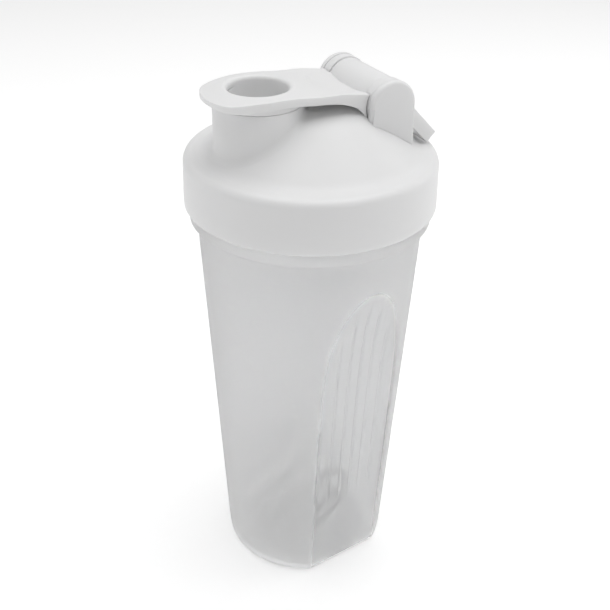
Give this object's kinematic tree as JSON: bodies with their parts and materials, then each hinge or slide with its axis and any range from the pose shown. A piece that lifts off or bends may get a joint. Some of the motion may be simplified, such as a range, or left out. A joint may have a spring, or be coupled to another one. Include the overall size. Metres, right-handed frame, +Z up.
{
  "type": "shaker bottle",
  "caption": "Tapered translucent cup with a screw lid, hinged spout cap, carry loop on the same pivots and a loose wire whisk ball inside.",
  "frame": {"origin": "centre of the flat base, on the surface that the bottle stands on", "axes": "+Z up along the bottle's axis, -Y towards the spout, X along the hinge line"},
  "size_m": [0.0992, 0.0992, 0.2215],
  "materials": {
    "frosted_cup": "frosted translucent",
    "white_lid": "satin",
    "soft_seal": "matte",
    "steel_wire": "polished wire"
  },
  "bodies": {
    "bottle": {"bottle": "frosted_cup"},
    "lid_seal": {"lid_seal": "soft_seal"},
    "lid": {"lid": "white_lid"},
    "flip_cap": {"flip_cap": "white_lid", "spout_seal": "soft_seal"},
    "carry_loop": {"carry_loop": "white_lid"},
    "whisk_ball": {"whisk_ball": "steel_wire"}
  },
  "joints": [
    {"name": "lid_lift", "type": "slide", "parent": "bottle", "child": "lid_seal", "axis": [0, 0, 1], "range_m": [0, 0.0085]},
    {"name": "lid_turn", "type": "hinge", "parent": "lid_seal", "child": "lid", "pos_m": [0, 0, 0.18], "axis": [0, 0, 1], "range_deg": [0, 540]},
    {"name": "cap_hinge", "type": "hinge", "parent": "lid", "child": "flip_cap", "pos_m": [0, 0.0231, 0.2119], "axis": [-1, 0, 0], "range_deg": [0, 100]},
    {"name": "loop_hinge", "type": "hinge", "parent": "lid", "child": "carry_loop", "pos_m": [0, 0.0231, 0.2119], "axis": [1, 0, 0], "range_deg": [0, 60]},
    {"name": "ball_lift", "type": "slide", "parent": "bottle", "child": "whisk_ball", "axis": [0, 0, 1], "range_m": [0, 0.12]}
  ],
  "couplings": [
    {"joint": "lid_lift", "follows": "lid_turn", "m_per_rad": 0.00089127}
  ]
}
